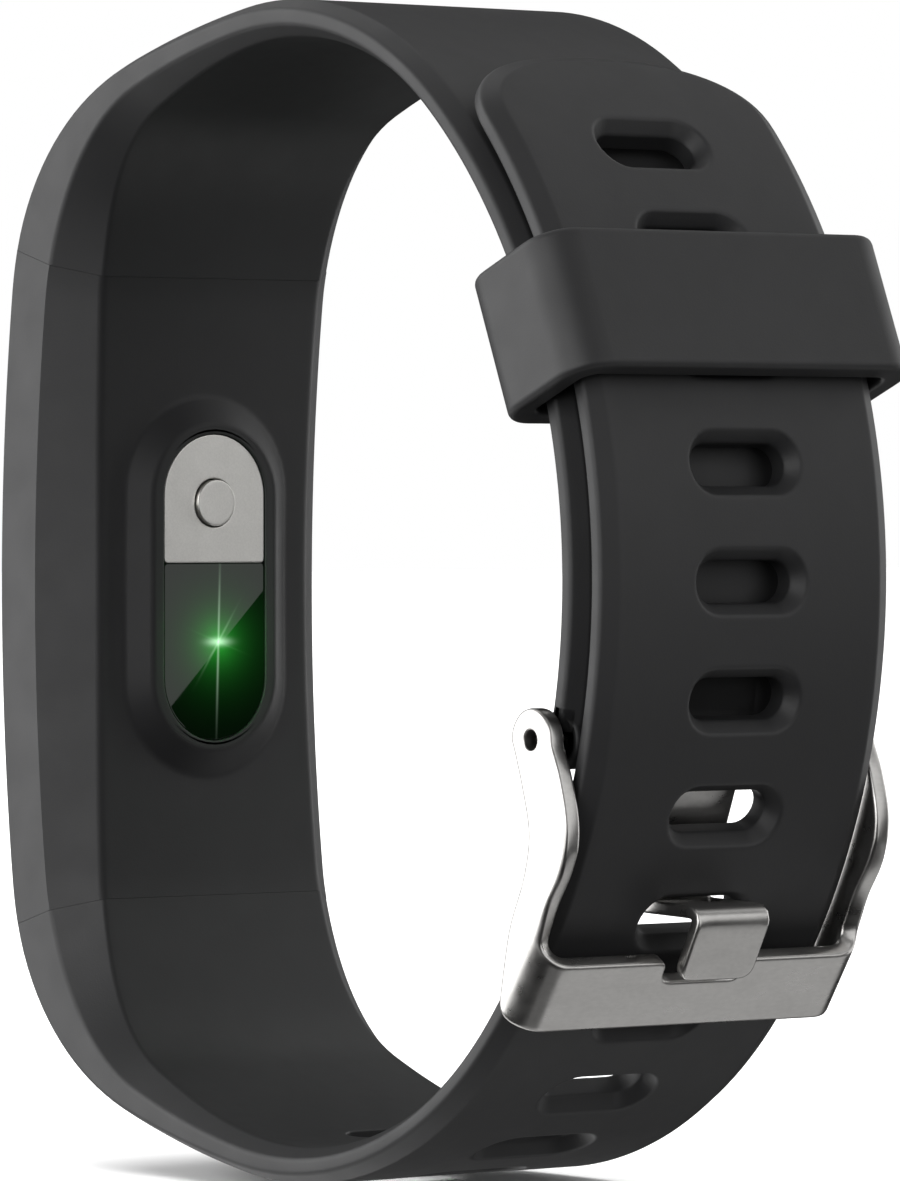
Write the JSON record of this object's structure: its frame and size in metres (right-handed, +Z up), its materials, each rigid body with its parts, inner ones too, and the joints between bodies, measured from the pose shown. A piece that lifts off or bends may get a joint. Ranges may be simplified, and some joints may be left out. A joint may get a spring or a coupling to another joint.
{
  "type": "fitness tracker band",
  "caption": "Fastened fitness tracker band: curved pod with a wrist sensor window, two rubber straps, a sliding keeper and a pin buckle.",
  "frame": {"origin": "centre of the wrist opening, halfway across the band", "axes": "+Y along the wrist, +Z up with the pod's seams above and below it, -X towards the display"},
  "size_m": [0.0577, 0.0238, 0.0658],
  "materials": {
    "strap": "soft matt",
    "casing": "soft matt",
    "buckle_steel": "satin",
    "window_plate": "fine satin",
    "dark_glass": "gloss",
    "led": "lit green",
    "board": "solder mask",
    "chip": "moulded",
    "cell": "foil pouch",
    "contact": "plated",
    "seal": "matt"
  },
  "bodies": {
    "band": {"front_shell": "casing", "rear_cover": "casing", "front_lens": "dark_glass", "cover_seal": "seal", "display_panel": "dark_glass", "touch_pad": "seal", "main_board": "board", "main_chip": "chip", "motion_sensor": "chip", "battery": "cell", "motor_base": "window_plate", "motor_cup": "window_plate", "sensor_board": "board", "green_led": "led", "photodiode": "chip", "sensor_glass": "dark_glass", "electrode_plate": "window_plate", "electrode_disc": "window_plate", "charge_contact_left": "contact", "charge_contact_right": "contact", "upper_strap": "strap", "lower_strap": "strap"},
    "spring_bar": {"spring_bar_tube": "buckle_steel", "spring_bar_spring_left": "buckle_steel", "spring_bar_spring_right": "buckle_steel"},
    "bar_tip_left": {"spring_bar_tip_left": "buckle_steel"},
    "bar_tip_right": {"spring_bar_tip_right": "buckle_steel"},
    "frame": {"buckle_frame": "buckle_steel"},
    "tongue": {"buckle_tongue": "buckle_steel"},
    "keeper": {"keeper": "strap"},
    "motor_weight": {"motor_weight": "buckle_steel"}
  },
  "joints": [
    {"name": "keeper_slide", "type": "hinge", "parent": "band", "child": "keeper", "pos_m": [-0.01115, 0, 0.0008], "axis": [0, -1, 0], "range_deg": [-16, 20]},
    {"name": "frame_hinge", "type": "hinge", "parent": "band", "child": "frame", "pos_m": [0.02148, 0, -0.00764], "axis": [0, -1, 0], "range_deg": [0, 120]},
    {"name": "tongue_hinge", "type": "hinge", "parent": "band", "child": "tongue", "pos_m": [0.02148, 0, -0.00764], "axis": [0, -1, 0], "range_deg": [-1.5, 2]},
    {"name": "bar_spin", "type": "hinge", "parent": "band", "child": "spring_bar", "pos_m": [0.02148, 0, -0.00764], "axis": [0, 1, 0], "continuous": true},
    {"name": "tip_left_press", "type": "slide", "parent": "spring_bar", "child": "bar_tip_left", "axis": [0, 1, 0], "range_m": [0, 0.001], "stiffness_N_per_m": 800, "springref_m": -0.0005, "deforming": ["spring_bar_spring_left"]},
    {"name": "tip_right_press", "type": "slide", "parent": "spring_bar", "child": "bar_tip_right", "axis": [0, -1, 0], "range_m": [0, 0.001], "stiffness_N_per_m": 800, "springref_m": -0.0005, "deforming": ["spring_bar_spring_right"]},
    {"name": "motor_spin", "type": "hinge", "parent": "band", "child": "motor_weight", "pos_m": [-0.0255, 0, -0.0122], "axis": [1, 0, 0], "continuous": true}
  ]
}
